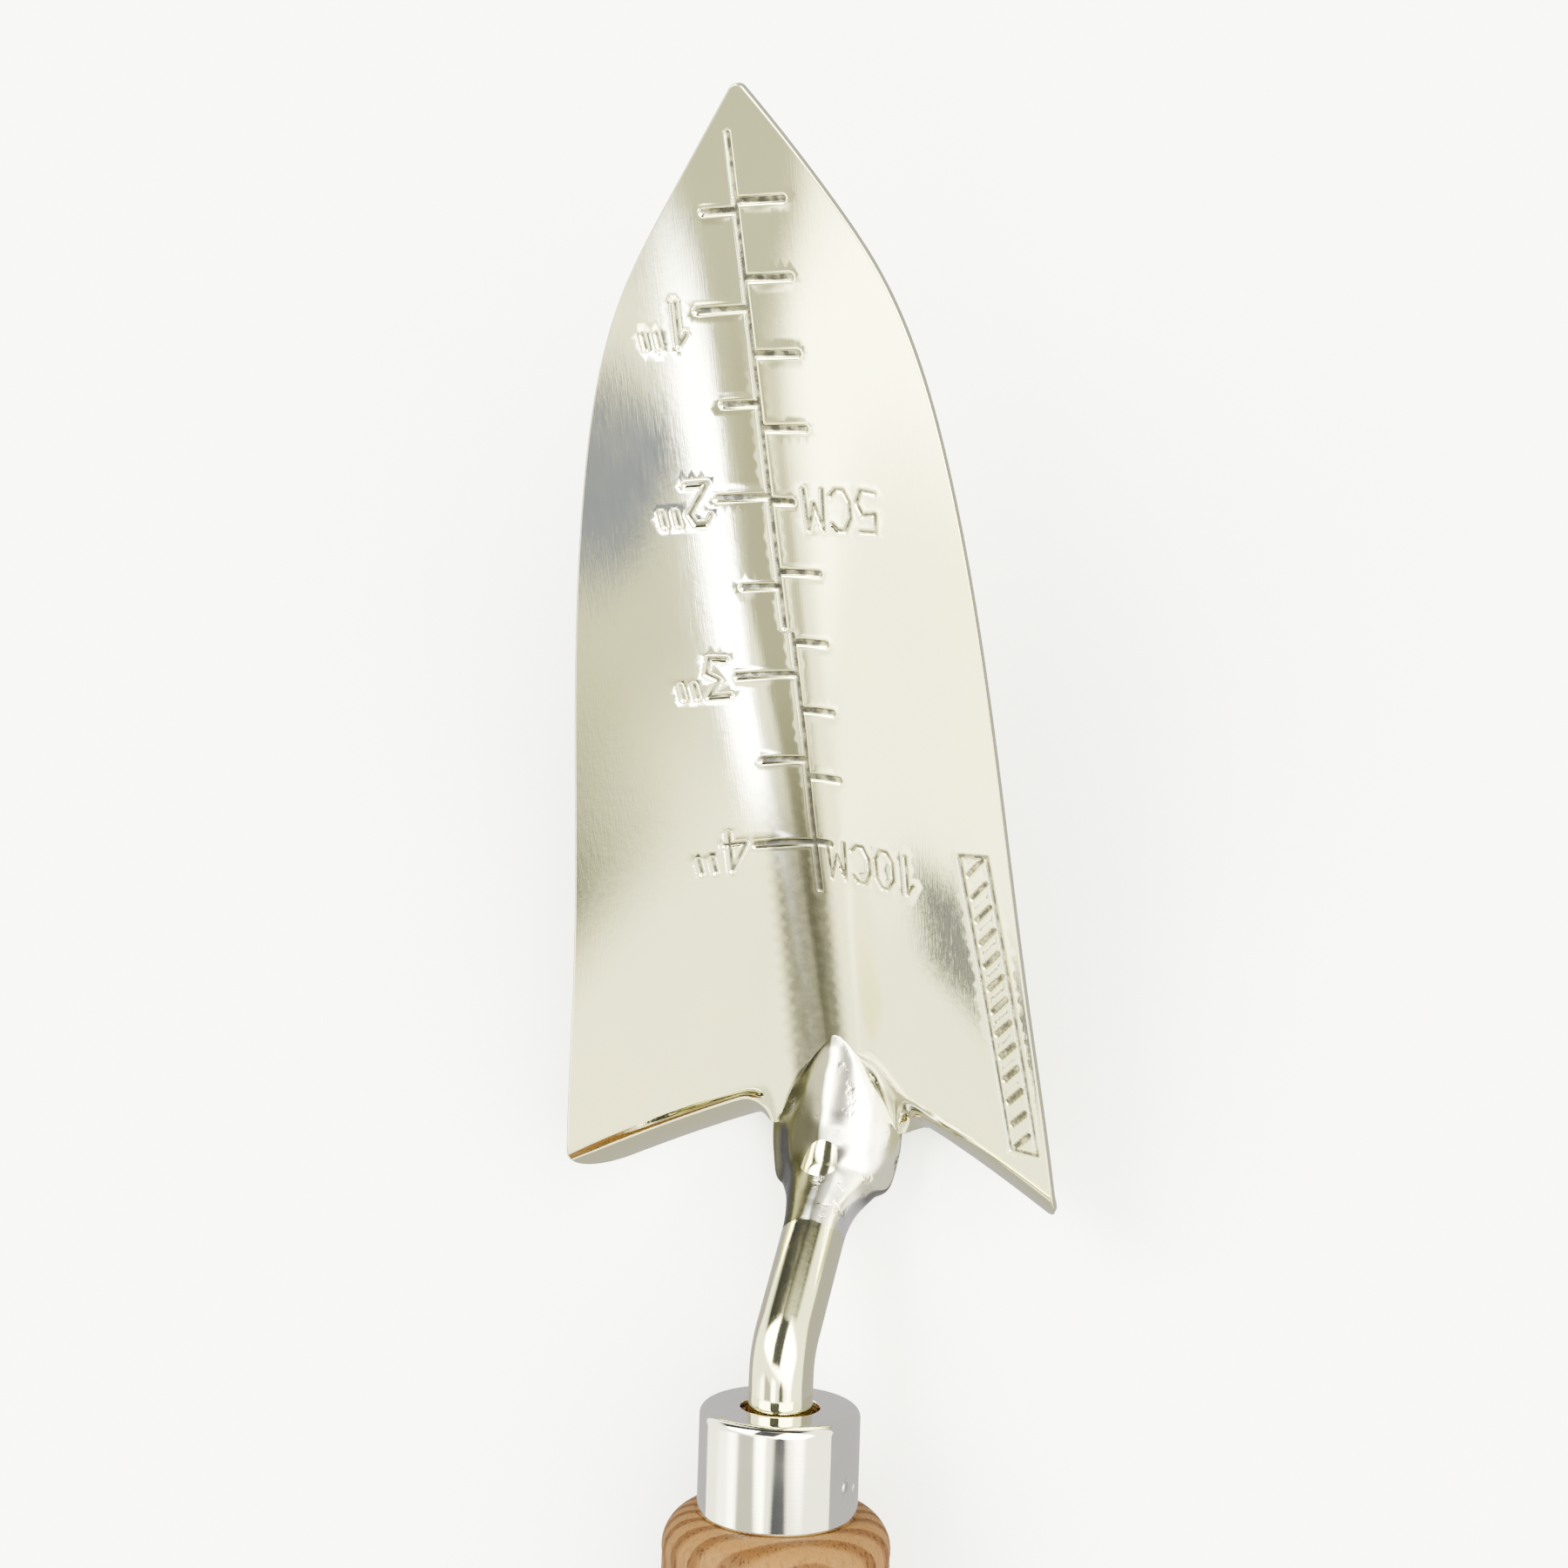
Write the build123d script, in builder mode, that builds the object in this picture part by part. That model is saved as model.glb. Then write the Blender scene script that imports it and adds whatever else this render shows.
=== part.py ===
from build123d import *
from math import cos, hypot, radians, sin
import os

# Hand trowel: a pressed stainless blade, a cranked round neck welded into the blade's channel, a
# polished ferrule and a turned ash handle. Millimetres. It lies on its back on the plane Z = 0 with
# the scoop up: +Y points to the blade's tip, +X to the right, and the grip drops towards its butt.

os.makedirs("parts", exist_ok=True)

# ---- Driving dimensions -------------------------------------------------------------------------
# Stance: where the ferrule's mouth is, and how far the grip's line falls from level
lie_angle = 3.09
mouth_y = -18.32
mouth_height = 22.36

# Blade, in its own plane: x across, y from the heel to the tip, z out of the scoop
blade_length = 150.0
blade_pitch = 20.2
blade_drop = 22.0
blade_setback = 36.8
sheet = 1.5
tip_radius = 1.3
tip_half_angle = 38.0
edge_stations = [(11.9, 135), (18.4, 125), (26.4, 100), (30.6, 70), (34.3, 30)]
heel_half_width = 38.0
heel_corner_radius = 4.5
notch_half_width = 10.5
notch_y = 0.8
heel_sweep = 6.2
wing_slope_heel = 0.57
wing_slope_fall = 0.0025
valley_radius_heel = 5.0
valley_radius_gain = 0.05
channel_half_width = 6.5
channel_depth = 0.7
channel_start = 10.0
channel_end = 75.0
lip_depth = 5.96
lip_width = 7.5
lip_start = 9.5
lip_full = 14.0

# Cross-sections that the sheet is laid through: close together at the lip, further apart beyond it
lip_runout = 1.4
thinning_slope = 1.6
slope_step = 0.05
section_half_width = 40.0
section_step = 1.25
section_start = -9.0
lip_section_step = 1.0
lip_section_count = 24
body_section_step = 9.2
body_section_count = 15
outline_depth = 80.0

# Neck rod, in the plane of symmetry
rod_radius = 4.6
rod_bend_y = 7.4
rod_bend_radius = 10.0
heel_bend_radius = 16.0
heel_bend_y = -2.3
rod_seat = 4.0
rod_lap = 13.0
wedge_angle = 48.0
tang_depth = 68.0

# Weld: (y, half-width, foot, crest) of its hill at three places on the blade, and its end on the neck
weld_stations = [(15.0, 1.2, -1.3, -1.0), (8.0, 6.2, 0.4, 4.6), (1.4, 10.0, 2.6, 8.2)]
weld_neck_back = 13.0
weld_neck_radius = 4.2

# Ferrule and its pin
ferrule_radius = 11.4
ferrule_length = 14.8
ferrule_wall = 1.0
ferrule_hole_radius = 5.65
ferrule_rim = 1.3
dimple_angle = 84.0
dimple_back = 9.7
dimple_ball = 4.2
dimple_depth = 0.75
pin_radius = 0.9
pin_length = 4.6

# Handle: the turned profile as (radius, distance behind the ferrule's mouth)
shoulder_start = 11.7
shoulder_middle = (14.8, 16.3)
grip_stations = [(16.1, 20.8), (14.5, 44), (16.4, 94), (14.9, 127)]
butt_station = (10.6, 137.0)
handle_end = 139.8
glue_gap = 0.5
hang_hole_radius = 3.0
hang_hole_back = 124.0

# ---- Planes -------------------------------------------------------------------------------------
grip_dir = Vector(0, cos(radians(lie_angle)), sin(radians(lie_angle)))
grip_up = Vector(0, -sin(radians(lie_angle)), cos(radians(lie_angle)))
mouth = Vector(0, mouth_y, mouth_height)
grip = Plane(origin=mouth, x_dir=(1, 0, 0), z_dir=grip_up)
side = Plane(origin=mouth, x_dir=grip_dir, z_dir=(1, 0, 0))
grip_axis = Axis(mouth, grip_dir)

heel = mouth + grip_dir * blade_setback - grip_up * blade_drop
blade_tilt = radians(lie_angle + blade_pitch)
blade_plane = Plane(origin=heel, x_dir=(1, 0, 0), z_dir=(0, -sin(blade_tilt), cos(blade_tilt)))


def on_blade(x, y, z):
    """A point given in the blade's own plane, in the trowel's frame."""
    return blade_plane.from_local_coords(Vector(x, y, z))


def in_side(point):
    """A point of the plane of symmetry, as (along the grip's line, above it)."""
    local = side.to_local_coords(point)
    return (local.X, local.Y)


def across_grip(back):
    """The plane square to the grip's line, a distance behind the ferrule's mouth."""
    return Plane(origin=mouth - grip_dir * back, x_dir=(1, 0, 0), z_dir=grip_dir)


def across_blade(y):
    """The plane square to the blade's line at y, with its own y axis out of the scoop."""
    return Plane(origin=on_blade(0, y, 0), x_dir=(1, 0, 0), z_dir=-blade_plane.y_dir)


# ---- Blade --------------------------------------------------------------------------------------
def smooth_step(value, low, high):
    t = min(max((value - low) / (high - low), 0.0), 1.0)
    return t * t * (3 - 2 * t)


def heel_edge(x):
    """Where the heel edge lies at x: level across the notch, swept back to the corners."""
    beyond = max(abs(x) - notch_half_width, 0.0) / (heel_half_width - notch_half_width)
    return notch_y - heel_sweep * beyond**1.3


def scoop_height(x, y):
    """Height of the upper face: a rounded V, a flat-floored channel and a rolled-down heel lip."""
    slope = wing_slope_heel - wing_slope_fall * y
    rounding = valley_radius_heel + valley_radius_gain * max(y, 0.0)
    trough = slope * (hypot(x, rounding) - rounding)
    fade = 1 - smooth_step(y, channel_start, channel_end)
    channel = channel_depth * fade / (1 + (x / channel_half_width) ** 6)
    inside = min(max(lip_width - (y - heel_edge(x)), 0.0) / lip_width, lip_runout)
    lip = lip_depth * inside**2 * smooth_step(abs(x), lip_start, lip_full)
    return trough - channel - lip


def under_height(x, y):
    """Height of the under face: one sheet down, square to the wings, and drawn thinner at the lip."""
    across = (scoop_height(x + slope_step, y) - scoop_height(x - slope_step, y)) / (2 * slope_step)
    along = (scoop_height(x, y + slope_step) - scoop_height(x, y - slope_step)) / (2 * slope_step)
    steepness = hypot(across, along)
    return scoop_height(x, y) - sheet * hypot(1, steepness / hypot(1, steepness / thinning_slope))


def sheet_section(y):
    """The sheet cut square to the blade's line at y, a little wider than the blade."""
    steps = int(2 * section_half_width / section_step)
    places = [-section_half_width + section_step * i for i in range(steps + 1)]
    with BuildSketch(across_blade(y)) as section:
        with BuildLine():
            over = Spline([(x, scoop_height(x, y)) for x in places])
            under = Spline([(x, under_height(x, y)) for x in places])
            Line(over @ 0, under @ 0)
            Line(over @ 1, under @ 1)
        make_face()
    return section.sketch


lip_sections = [section_start + lip_section_step * i for i in range(lip_section_count)]
body_sections = [lip_sections[-1] + body_section_step * (i + 1) for i in range(body_section_count)]

with BuildPart() as blade:
    loft([sheet_section(y) for y in lip_sections + body_sections], ruled=True)
    with BuildSketch(blade_plane.offset(-outline_depth / 2)) as outline:
        with BuildLine():
            nose = Vector(0, blade_length - tip_radius)
            nose_arc = CenterArc(nose, tip_radius, 90, tip_half_angle - 90)
            edge = Spline(
                [nose_arc @ 1, *edge_stations, (heel_half_width, heel_edge(heel_half_width))],
                tangents=[nose_arc % 1, (0.06, -1)],
            )
            Spline([edge @ 1] + [(x, heel_edge(x)) for x in (31, 24, 17, notch_half_width)])
            Polyline((notch_half_width, notch_y), (0, notch_y), (0, blade_length))
        make_face()
        fillet(outline.vertices().sort_by(Axis.X)[-1], heel_corner_radius)
        mirror(about=Plane.YZ)
    extrude(amount=outline_depth, mode=Mode.INTERSECT)
blade.part.label = "blade"
export_step(blade.part, "parts/blade.step")

# ---- Neck rod -----------------------------------------------------------------------------------
heel_bend = on_blade(0, heel_bend_y, rod_seat)
neck_bend = mouth + grip_dir * rod_bend_y

with BuildPart() as neck_rod:
    with BuildLine(side) as rod_path:
        FilletPolyline(
            (-tang_depth, 0),
            in_side(neck_bend),
            in_side(heel_bend),
            in_side(on_blade(0, rod_lap, rod_seat)),
            radius=[rod_bend_radius, heel_bend_radius],
        )
    with BuildSketch(across_grip(tang_depth)):
        Circle(rod_radius)
    sweep(path=rod_path.line)
    # The lapped end is ground down to a wedge that runs out on the channel's floor
    wedge = Plane(origin=on_blade(0, rod_lap, -channel_depth), x_dir=(1, 0, 0), z_dir=grip_up)
    split(bisect_by=wedge.rotated((blade_pitch + wedge_angle, 0, 0)), keep=Keep.BOTTOM)
neck_rod.part.label = "neck_rod"
export_step(neck_rod.part, "parts/neck_rod.step")

# ---- Weld ---------------------------------------------------------------------------------------
def half_hill(plane, half_width, foot, crest, floor):
    """The right half of a cross-section of the weld: a floor arc below and a hollow flank above."""
    rise = foot - floor
    with BuildSketch(plane) as section:
        with BuildLine():
            Line((0, crest), (0, floor))
            RadiusArc((0, floor), (half_width, foot), -(half_width**2 + rise**2) / (2 * rise))
            flank = (half_width * 0.5, foot + (crest - foot) * 0.62)
            Spline([(half_width, foot), flank, (0, crest)], tangents=[(-1, 0.4), (-1, 0)])
        make_face()
    return section.sketch


neck_dir = (heel_bend - neck_bend).normalized()
neck_end = Plane(origin=heel_bend - neck_dir * weld_neck_back, x_dir=(1, 0, 0), z_dir=-neck_dir)
sheet_middle = -channel_depth - sheet / 2
weld_sections = [
    half_hill(across_blade(y), half_width, foot, crest, min(sheet_middle, foot - 0.3))
    for y, half_width, foot, crest in weld_stations
]
weld_sections.append(half_hill(neck_end, weld_neck_radius, 0, weld_neck_radius - 0.2, -weld_neck_radius))

# The hill's feet are inside the sheet, so cutting the blade and the rod away leaves the weld metal
with BuildPart() as weld_right:
    loft(weld_sections)
    add(blade.part, mode=Mode.SUBTRACT)
    add(neck_rod.part, mode=Mode.SUBTRACT)
weld_right.part.label = "weld_right"
export_step(weld_right.part, "parts/weld_right.step")

with BuildPart() as weld_left:
    mirror(weld_right.part, about=Plane.YZ)
weld_left.part.label = "weld_left"
export_step(weld_left.part, "parts/weld_left.step")

# ---- Ferrule and its pin ------------------------------------------------------------------------
dimple_dir = grip.x_dir * sin(radians(dimple_angle)) + grip.z_dir * cos(radians(dimple_angle))
dimple_floor = mouth - grip_dir * dimple_back + dimple_dir * (ferrule_radius - dimple_depth)
ferrule_bore = ferrule_radius - ferrule_wall

with BuildPart() as ferrule_pin:
    with BuildSketch(Plane(origin=dimple_floor, z_dir=-dimple_dir)):
        Circle(pin_radius)
    extrude(amount=pin_length)
ferrule_pin.part.label = "ferrule_pin"
export_step(ferrule_pin.part, "parts/ferrule_pin.step")

with BuildPart() as ferrule:
    with BuildSketch(grip):
        with BuildLine():
            rim_outside = (ferrule_radius, -ferrule_rim)
            rim_top = (ferrule_radius - ferrule_rim, 0)
            Polyline(
                rim_top,
                (ferrule_hole_radius, 0),
                (ferrule_hole_radius, -ferrule_wall),
                (ferrule_bore, -ferrule_wall),
                (ferrule_bore, -ferrule_length),
                (ferrule_radius, -ferrule_length),
                rim_outside,
            )
            RadiusArc(rim_outside, rim_top, -ferrule_rim)
        make_face()
    revolve(axis=grip_axis)
    with Locations(Plane(origin=dimple_floor + dimple_dir * dimple_ball, z_dir=dimple_dir)):
        Sphere(dimple_ball, mode=Mode.SUBTRACT)
    add(ferrule_pin.part, mode=Mode.SUBTRACT)
ferrule.part.label = "ferrule"
export_step(ferrule.part, "parts/ferrule.step")

# ---- Tang glue and handle -----------------------------------------------------------------------
with BuildPart() as tang_glue:
    with BuildSketch(across_grip(tang_depth + glue_gap)):
        Circle(rod_radius + glue_gap)
    extrude(amount=tang_depth - ferrule_wall - glue_gap)
    add(neck_rod.part, mode=Mode.SUBTRACT)
tang_glue.part.label = "tang_glue"
export_step(tang_glue.part, "parts/tang_glue.step")

with BuildPart() as handle:
    with BuildSketch(grip):
        with BuildLine():
            Polyline(
                (0, -handle_end),
                (0, -ferrule_wall),
                (ferrule_bore, -ferrule_wall),
                (ferrule_bore, -ferrule_length),
                (shoulder_start, -ferrule_length),
            )
            grip_points = [(radius, -back) for radius, back in grip_stations]
            ThreePointArc(
                (shoulder_start, -ferrule_length), (shoulder_middle[0], -shoulder_middle[1]), grip_points[0]
            )
            grip_line = Spline(grip_points, tangents=[(0.03, -1), (-0.14, -1)])
            Spline(
                [grip_line @ 1, (butt_station[0], -butt_station[1]), (0, -handle_end)],
                tangents=[grip_line % 1, (-1, 0)],
            )
        make_face()
    revolve(axis=grip_axis)
    # The bore takes the glued tang, and stays open where the rod enters it
    with Locations(across_grip(ferrule_wall)):
        Cylinder(rod_radius + glue_gap, 2 * glue_gap, mode=Mode.SUBTRACT)
    for inside in (tang_glue, neck_rod, ferrule_pin):
        add(inside.part, mode=Mode.SUBTRACT)
    with Locations(Plane(origin=mouth - grip_dir * hang_hole_back, x_dir=(1, 0, 0), z_dir=grip_up)):
        Cylinder(hang_hole_radius, 4 * grip_stations[0][0], mode=Mode.SUBTRACT)
handle.part.label = "handle"
export_step(handle.part, "parts/handle.step")

for piece in (blade, neck_rod, weld_left, weld_right, ferrule_pin, ferrule, tang_glue, handle):
    box = piece.part.bounding_box()
    print(piece.part.label, round(piece.part.volume), [round(v, 2) for v in (*box.min, *box.max)])
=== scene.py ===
"""Looks of the hand trowel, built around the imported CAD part. Metres, in the part's own frame.

The trowel lies on its back, scoop up, with +Y towards the blade's tip. Two local systems are used,
both in millimetres: the blade's own plane (across, from heel to tip, out of the scoop), and the
grip's line (across, from butt to blade with zero at the ferrule's mouth, up).
"""

from math import atan2, cos, pi, radians, sin, tan

import bmesh
import bpy
import numpy as np
from mathutils import Matrix, Vector
from mathutils.geometry import delaunay_2d_cdt


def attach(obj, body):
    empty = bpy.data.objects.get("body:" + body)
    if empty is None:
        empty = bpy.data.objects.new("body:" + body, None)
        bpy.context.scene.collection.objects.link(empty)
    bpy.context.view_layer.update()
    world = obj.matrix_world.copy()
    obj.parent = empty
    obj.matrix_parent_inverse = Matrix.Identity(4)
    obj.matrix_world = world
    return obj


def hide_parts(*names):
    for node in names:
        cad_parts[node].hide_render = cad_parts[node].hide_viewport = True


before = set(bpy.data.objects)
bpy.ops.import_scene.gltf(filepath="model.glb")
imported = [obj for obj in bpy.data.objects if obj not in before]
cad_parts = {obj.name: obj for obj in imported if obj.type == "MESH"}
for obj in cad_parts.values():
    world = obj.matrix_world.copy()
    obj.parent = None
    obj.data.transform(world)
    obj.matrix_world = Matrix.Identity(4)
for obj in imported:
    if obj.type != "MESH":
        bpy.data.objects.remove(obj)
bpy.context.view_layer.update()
MM = 0.001

# ---- Driving dimensions, millimetres ------------------------------------------------------------
LIE_ANGLE = radians(3.09)
MOUTH = np.array([0.0, -18.32, 22.36])
BLADE_LENGTH = 150.0
BLADE_TILT = LIE_ANGLE + radians(20.2)
BLADE_DROP = 22.0
BLADE_SETBACK = 36.8
SHEET = 1.5
TIP_RADIUS = 1.3
TIP_HALF_ANGLE = radians(38.0)
EDGE_STATIONS = [(11.9, 135), (18.4, 125), (26.4, 100), (30.6, 70), (34.3, 30)]
HEEL_HALF_WIDTH = 38.0
HEEL_CORNER_RADIUS = 4.5
NOTCH_HALF_WIDTH = 10.5
NOTCH_Y = 0.8
HEEL_SWEEP = 6.2
LIP_DEPTH = 5.96
LIP_RUNOUT = 1.4
THINNING_SLOPE = 1.6
LIP_WIDTH = 7.5
LIP_START = 9.5
LIP_FULL = 14.0
CHANNEL_DEPTH = 0.7
EDGE_ROUNDING = 0.3
MESH_CLEARANCE = 0.03  # how far the visible outline stays inside the CAD blade's, at each side
OUTLINE_STEP = 0.9
COARSE_SPACING = 1.3
LIP_SPACING = 0.65
MARK_SPACING = 0.24
MARK_REACH = 0.62
RIM_MARGIN = 0.42

ROD_RADIUS = 4.6
ROD_BEND_Y = 7.4
ROD_BEND_RADIUS = 10.0
HEEL_BEND_RADIUS = 16.0
HEEL_BEND_Y = -2.3
ROD_SEAT = 4.0
ROD_LAP = 11.0
ROD_HIDDEN = 8.0
ROD_TANG = 68.0
ROD_NOSE = 7.0
ROD_SIDES = 72
PATH_STEP = 0.8
WELD_SIDES = 96
WELD_SPANS = 9

FERRULE_RADIUS = 11.4
FERRULE_LENGTH = 14.8
FERRULE_WALL = 1.0
FERRULE_HOLE_RADIUS = 5.65
FERRULE_RIM = 1.3
DIMPLE_ANGLE = radians(84.0)
DIMPLE_BACK = 9.7
DIMPLE_BALL = 4.2
DIMPLE_DEPTH = 0.75
PIN_RADIUS = 0.9
FERRULE_SIDES = 320
PIN_SIDES = 32

GRIP_DIR = np.array([0.0, cos(LIE_ANGLE), sin(LIE_ANGLE)])
GRIP_UP = np.array([0.0, -sin(LIE_ANGLE), cos(LIE_ANGLE)])
BLADE_DIR = np.array([0.0, cos(BLADE_TILT), sin(BLADE_TILT)])
BLADE_OUT = np.array([0.0, -sin(BLADE_TILT), cos(BLADE_TILT)])
RIGHT = np.array([1.0, 0.0, 0.0])
HEEL = MOUTH + BLADE_SETBACK * GRIP_DIR - BLADE_DROP * GRIP_UP


def on_blade(points):
    """Points of the blade's own system, in the part's frame (millimetres)."""
    points = np.atleast_2d(points)
    return HEEL + points[:, :1] * RIGHT + points[:, 1:2] * BLADE_DIR + points[:, 2:3] * BLADE_OUT


def on_grip(points):
    """Points of the grip's system, in the part's frame (millimetres)."""
    points = np.atleast_2d(points)
    return MOUTH + points[:, :1] * RIGHT + points[:, 1:2] * GRIP_DIR + points[:, 2:3] * GRIP_UP


# ---- Curves and noise ---------------------------------------------------------------------------
def spline_through(stations, start_tangent, end_tangent, count):
    """Points on the smooth curve through the stations, with the given end directions."""
    stations = np.array(stations, float)
    chords = np.linalg.norm(np.diff(stations, axis=0), axis=1)
    knots = np.concatenate([[0], np.cumsum(chords)])
    size = len(stations)
    matrix = np.zeros((size, size))
    target = np.zeros_like(stations)
    matrix[0, 0] = matrix[-1, -1] = 1
    target[0] = np.array(start_tangent) / np.linalg.norm(start_tangent)
    target[-1] = np.array(end_tangent) / np.linalg.norm(end_tangent)
    for i in range(1, size - 1):
        before, after = chords[i - 1], chords[i]
        matrix[i, i - 1:i + 2] = after, 2 * (before + after), before
        rise_before = (stations[i] - stations[i - 1]) / before
        rise_after = (stations[i + 1] - stations[i]) / after
        target[i] = 3 * (after * rise_before + before * rise_after)
    slopes = np.linalg.solve(matrix, target)
    result = []
    for place in np.linspace(0, knots[-1], count):
        i = min(np.searchsorted(knots, place, side="right") - 1, size - 2)
        t = (place - knots[i]) / chords[i]
        a, b = stations[i], stations[i + 1]
        u, v = slopes[i] * chords[i], slopes[i + 1] * chords[i]
        result.append((2 * t**3 - 3 * t**2 + 1) * a + (t**3 - 2 * t**2 + t) * u
                      + (3 * t**2 - 2 * t**3) * b + (t**3 - t**2) * v)
    return np.array(result)


def smooth_step(value, low, high):
    t = np.clip((value - low) / (high - low), 0, 1)
    return t * t * (3 - 2 * t)


def ripple(points, scale, seed):
    """Smooth pseudo-random waves between about -1 and 1, the same on every run."""
    random = np.random.default_rng(seed)
    total = np.zeros(len(points))
    for _ in range(7):
        direction = random.normal(size=3)
        direction /= np.linalg.norm(direction)
        frequency = 2 * pi / (scale * random.uniform(0.6, 1.6))
        total += np.sin(points @ direction * frequency + random.uniform(0, 2 * pi))
    return total / 4


# ---- Meshes -------------------------------------------------------------------------------------
def piece_from(name, points, faces, material, normals=None):
    """A smooth-shaded mesh object from millimetre points in the part's frame."""
    mesh = bpy.data.meshes.new(name)
    mesh.from_pydata((np.asarray(points) * MM).tolist(), [], [list(map(int, f)) for f in faces])
    mesh.update()
    mesh.polygons.foreach_set("use_smooth", [True] * len(mesh.polygons))
    if normals is not None:
        mesh.normals_split_custom_set_from_vertices(np.asarray(normals).tolist())
    mesh.materials.append(material)
    piece = bpy.data.objects.new(name, mesh)
    bpy.context.scene.collection.objects.link(piece)
    return piece


def ring_faces(rings, sides, closed_rings=False):
    """Faces of a skin of rings, each ring with the same number of points."""
    faces = []
    for r in range(rings if closed_rings else rings - 1):
        low, high = r * sides, ((r + 1) % rings) * sides
        for s in range(sides):
            t = (s + 1) % sides
            faces.append((low + s, low + t, high + t, high + s))
    return faces


def face_outwards(piece):
    """Recalculates which way the faces look, from the closed shape itself."""
    work = bmesh.new()
    work.from_mesh(piece.data)
    bmesh.ops.recalc_face_normals(work, faces=work.faces)
    work.to_mesh(piece.data)
    work.free()


# ---- Shader helpers -----------------------------------------------------------------------------
class Nodes:
    """Short calls for building one material's node tree."""

    def __init__(self, name):
        self.material = bpy.data.materials.new(name)
        self.material.use_nodes = True
        self.tree = self.material.node_tree
        self.shader = self.tree.nodes["Principled BSDF"]

    def set(self, **values):
        for socket, value in values.items():
            self.shader.inputs[socket.replace("_", " ")].default_value = value

    def link(self, source, target):
        self.tree.links.new(source, target)

    def feed(self, socket, source):
        self.tree.links.new(source, self.shader.inputs[socket])

    def add(self, kind, **values):
        node = self.tree.nodes.new(kind)
        for name, value in values.items():
            setattr(node, name, value)
        return node

    def place(self, scale=(1, 1, 1), turn=0.0, shift=(0, 0, 0)):
        """Object coordinates turned about X into the blade's or the grip's own system."""
        coordinates = self.add("ShaderNodeTexCoord")
        turned = self.add("ShaderNodeMapping", vector_type="POINT")
        turned.inputs["Rotation"].default_value = (-turn, 0, 0)
        turned.inputs["Location"].default_value = shift
        stretched = self.add("ShaderNodeMapping", vector_type="POINT")
        stretched.inputs["Scale"].default_value = scale
        self.link(coordinates.outputs["Object"], turned.inputs["Vector"])
        self.link(turned.outputs["Vector"], stretched.inputs["Vector"])
        return stretched.outputs["Vector"]

    def noise(self, vector, scale=1.0, detail=3.0, roughness=0.5, distortion=0.0):
        node = self.add("ShaderNodeTexNoise")
        node.inputs["Scale"].default_value = scale
        node.inputs["Detail"].default_value = detail
        node.inputs["Roughness"].default_value = roughness
        node.inputs["Distortion"].default_value = distortion
        self.link(vector, node.inputs["Vector"])
        return node.outputs["Fac"]

    def math(self, operation, first, second=0.0, third=0.0):
        node = self.add("ShaderNodeMath", operation=operation)
        for i, value in enumerate((first, second, third)):
            if isinstance(value, (int, float)):
                node.inputs[i].default_value = value
            else:
                self.link(value, node.inputs[i])
        return node.outputs[0]

    def between(self, value, from_low, from_high, to_low=0.0, to_high=1.0, smooth=True):
        node = self.add("ShaderNodeMapRange")
        if smooth:
            node.interpolation_type = "SMOOTHSTEP"
        for socket, number in zip(("From Min", "From Max", "To Min", "To Max"),
                                  (from_low, from_high, to_low, to_high)):
            node.inputs[socket].default_value = number
        self.link(value, node.inputs["Value"])
        return node.outputs["Result"]

    def ramp(self, value, stops):
        node = self.add("ShaderNodeValToRGB")
        elements = node.color_ramp.elements
        while len(elements) < len(stops):
            elements.new(0.5)
        for element, (place, color) in zip(elements, stops):
            element.position = place
            element.color = (*color, 1.0)
        self.link(value, node.inputs["Fac"])
        return node.outputs["Color"]

    def mix(self, factor, first, second, blend="MIX"):
        node = self.add("ShaderNodeMix", data_type="RGBA", blend_type=blend)
        for socket, value in ((0, factor), (6, first), (7, second)):
            if isinstance(value, (int, float)):
                node.inputs[socket].default_value = value
            elif isinstance(value, tuple):
                node.inputs[socket].default_value = (*value, 1.0)
            else:
                self.link(value, node.inputs[socket])
        return node.outputs[2]

    def bump(self, height, strength, distance):
        node = self.add("ShaderNodeBump")
        node.inputs["Strength"].default_value = strength
        node.inputs["Distance"].default_value = distance
        self.link(height, node.inputs["Height"])
        self.feed("Normal", node.outputs["Normal"])


def polished_steel(name, turn, tint=(0.80, 0.785, 0.50), rough=(0.03, 0.08), streak=1.0):
    """Drawn and buffed stainless: fine streaks along the piece, cloudy haze and small pits."""
    nodes = Nodes(name)
    nodes.set(Metallic=1.0)
    streaks = nodes.noise(nodes.place((5200, 160, 5200), turn), 1.0, 2.0, 0.6)
    clouds = nodes.noise(nodes.place((46, 30, 46), turn), 1.0, 3.0, 0.55, 0.4)
    grain = nodes.noise(nodes.place((900, 700, 900), turn), 1.0, 3.0, 0.6)
    haze = nodes.math("ADD", nodes.math("MULTIPLY", streaks, 0.45), nodes.math("MULTIPLY", clouds, 0.55))
    nodes.feed("Roughness", nodes.between(haze, 0.30, 0.70, rough[0], rough[1]))
    warm = tuple(value * k for value, k in zip(tint, (1.03, 1.02, 0.93)))
    cool = tuple(value * k for value, k in zip(tint, (0.95, 0.96, 1.0)))
    nodes.feed("Base Color", nodes.ramp(clouds, [(0.32, cool), (0.52, tint), (0.70, warm)]))
    relief = nodes.math("ADD", nodes.math("MULTIPLY", streaks, 0.5 * streak),
                        nodes.math("MULTIPLY", grain, 0.5))
    nodes.bump(relief, 0.10, 0.00006)
    return nodes


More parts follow.
